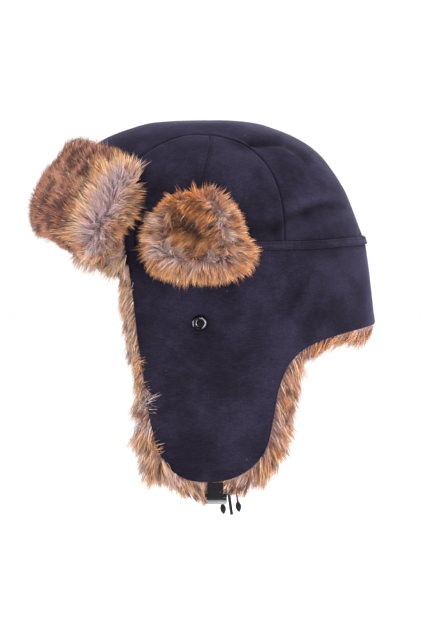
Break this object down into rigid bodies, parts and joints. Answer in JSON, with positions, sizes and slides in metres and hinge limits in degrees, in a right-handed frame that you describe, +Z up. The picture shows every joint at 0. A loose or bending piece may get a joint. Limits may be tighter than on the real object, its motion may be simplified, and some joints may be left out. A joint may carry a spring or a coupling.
{
  "type": "aviator hat",
  "caption": "Aviator hat in dark suede cloth with a turned-up fur peak, fur ear vents, fur-lined ear flaps, press studs and an open chin buckle.",
  "frame": {"origin": "the highest point inside the crown, where the hat rests on a head", "axes": "+Z up, -Y the way the wearer faces, +X to the wearer's left"},
  "size_m": [0.2362, 0.2857, 0.3426],
  "materials": {
    "suede": "brushed suede nap, near black with an aubergine cast",
    "fur": "long pile faux fur, grey roots, tan to dark brown tips",
    "black_metal": "glossy black enamel",
    "webbing": "plain woven nylon",
    "black_plastic": "moulded, glossy"
  },
  "bodies": {
    "root": {"crown_centre": "suede", "crown_side_front_left": "suede", "crown_side_rear_left": "suede", "crown_side_front_right": "suede", "crown_side_rear_right": "suede", "seam_band": "suede", "flap_shell": "suede", "flap_fur": "fur", "peak_shell": "suede", "peak_fur": "fur", "vent_shell_left": "suede", "vent_fur_left": "fur", "vent_shell_right": "suede", "vent_fur_right": "fur", "snap_left": "black_metal", "snap_right": "black_metal", "strap_left": "webbing", "strap_right": "webbing", "buckle_socket": "black_plastic", "buckle_prongs": "black_plastic"}
  },
  "joints": []
}
